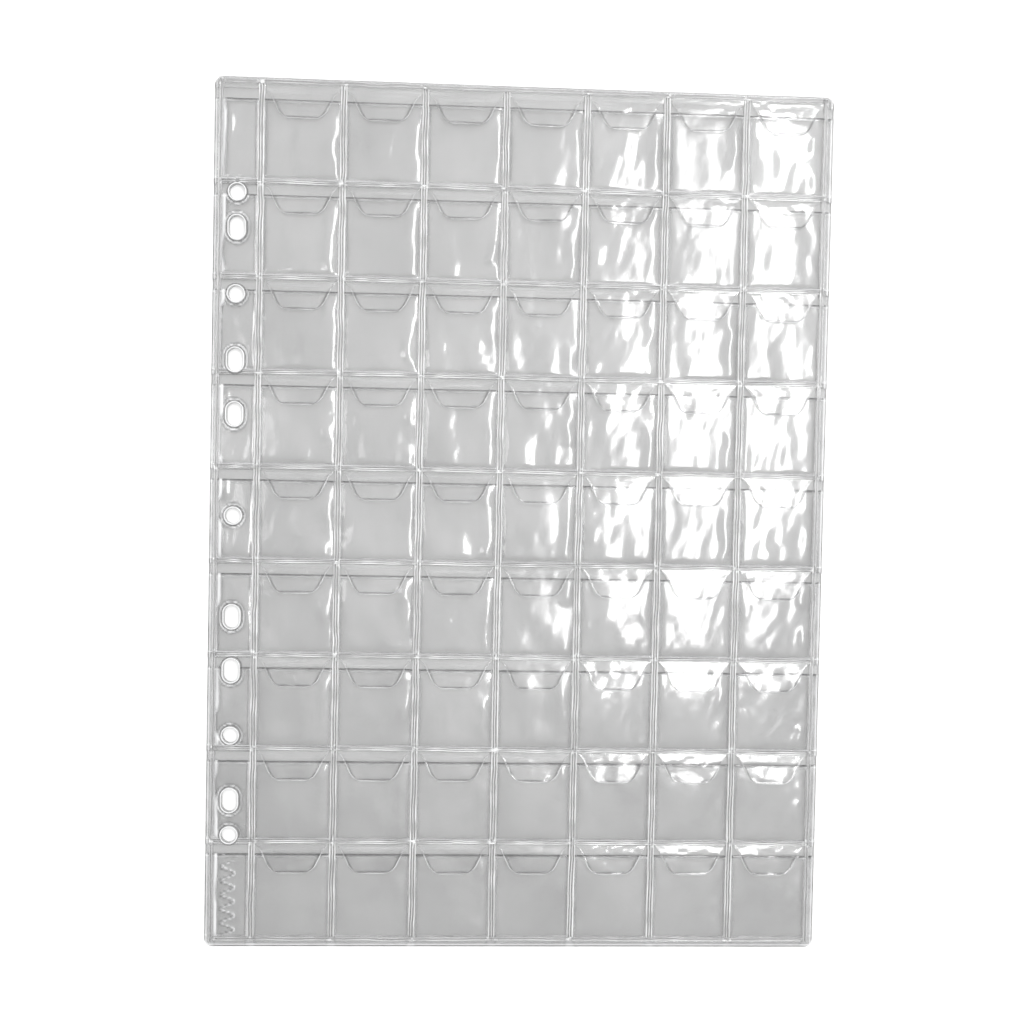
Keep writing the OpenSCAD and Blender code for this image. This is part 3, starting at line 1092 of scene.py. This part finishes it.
# Half the floor's side and its depth below the page, both in metres
FLOOR = 25.0
FLOOR_DROP = 0.0002
corners = [(-FLOOR, -FLOOR, 0), (FLOOR, -FLOOR, 0), (FLOOR, FLOOR, 0), (-FLOOR, FLOOR, 0)]
floor_mesh = bpy.data.meshes.new("floor")
floor_mesh.from_pydata(corners, [], [(0, 1, 2, 3)])
floor = bpy.data.objects.new("floor", floor_mesh)
floor.location = (0, 0, -FLOOR_DROP)
bpy.context.scene.collection.objects.link(floor)
paper = Nodes("white_paper")
paper_place = paper.add("ShaderNodeTexCoord").outputs["Object"]
paper_tone = paper.add("ShaderNodeMix", data_type="RGBA")
paper_tone.inputs["A"].default_value = grey(0.90)
paper_tone.inputs["B"].default_value = grey(0.93)
paper.link(paper.noise(paper_place, 3, 3), paper_tone.inputs["Factor"])
paper_bsdf = paper.add("ShaderNodeBsdfDiffuse")
paper.link(paper_tone.outputs["Result"], paper_bsdf.inputs["Color"])
paper_out = paper.add("ShaderNodeOutputMaterial")
paper.link(paper_bsdf.outputs[0], paper_out.inputs["Surface"])
floor_mesh.materials.append(paper.mat)

scene = bpy.context.scene
world = bpy.data.worlds.new("studio")
scene.world = world
world.use_nodes = True
sky = world.node_tree.nodes["Background"]
sky.inputs["Color"].default_value = grey(1)
# the studio's ceiling is brighter over the far side of the page, in this direction
BRIGHTEST = (0.20, 0.36, 0.911)
direction = world.node_tree.nodes.new("ShaderNodeTexCoord")
toward = world.node_tree.nodes.new("ShaderNodeVectorMath")
toward.operation = "DOT_PRODUCT"
toward.inputs[1].default_value = BRIGHTEST
glow = world.node_tree.nodes.new("ShaderNodeMapRange")
glow.interpolation_type = "SMOOTHSTEP"
for key, value in (("From Min", 0.66), ("From Max", 0.98), ("To Min", 0.45), ("To Max", 1.6)):
    glow.inputs[key].default_value = value
world.node_tree.links.new(direction.outputs["Generated"], toward.inputs[0])
world.node_tree.links.new(toward.outputs["Value"], glow.inputs["Value"])
world.node_tree.links.new(glow.outputs[0], sky.inputs["Strength"])


def softbox(name, place, target, width, height, radiance):
    """A rectangular light at a place, turned to a target, all in metres."""
    light = bpy.data.lights.new(name, "AREA")
    light.shape = "RECTANGLE"
    light.size = width
    light.size_y = height
    light.energy = radiance * math.pi * width * height
    o = bpy.data.objects.new(name, light)
    o.location = place
    o.rotation_euler = (Vector(target) - Vector(place)).to_track_quat("-Z", "Y").to_euler()
    scene.collection.objects.link(o)
    return o


# Place of the camera in metres, its turn in degrees, and its lens and sensor in millimetres
CAMERA = (-0.0203, 0.0129, 0.400)
CAMERA_TURN = (-1.427, -2.439, 1.137)
LENS = 37.23
SENSOR = 36
# Height of the key light in metres and its turn in degrees
KEY_HEIGHT = 1.2
KEY_TURN = -8
# The corners of the patch of the flat page that mirrors the key light to the camera
GLARE_LOW = (0.050, -0.044)
GLARE_HIGH = (0.109, 0.200)


def mirrored(x, y):
    """Where a light at the key's height has to be for the flat page to mirror it at x, y."""
    grow = (CAMERA[2] + KEY_HEIGHT) / CAMERA[2]
    return (
        x * grow - CAMERA[0] * KEY_HEIGHT / CAMERA[2],
        y * grow - CAMERA[1] * KEY_HEIGHT / CAMERA[2],
    )


low_x, low_y = mirrored(*GLARE_LOW)
high_x, high_y = mirrored(*GLARE_HIGH)
middle = ((low_x + high_x) / 2, (low_y + high_y) / 2)
size = (high_x - low_x, high_y - low_y)
key = softbox("key", (*middle, KEY_HEIGHT), (*middle, 0), *size, radiance=12.0)
key.rotation_euler.z += math.radians(KEY_TURN)
PAGE_MIDDLE = (0, 0, 0)
softbox("left_strip", (-0.90, 0.1, 0.95), PAGE_MIDDLE, width=0.25, height=1.2, radiance=3.0)
softbox("top_strip", (-0.1, 1.15, 0.9), PAGE_MIDDLE, width=1.2, height=0.22, radiance=1.5)

cam_data = bpy.data.cameras.new("camera")
cam_data.sensor_width = SENSOR
cam_data.lens = LENS
cam = bpy.data.objects.new("camera", cam_data)
cam.location = CAMERA
cam.rotation_euler = [math.radians(a) for a in CAMERA_TURN]
scene.collection.objects.link(cam)
scene.camera = cam

scene.view_settings.view_transform = "Standard"
scene.view_settings.look = "None"
# a ray passes many faces of clear film on its way to the floor
scene.cycles.transparent_max_bounces = 40
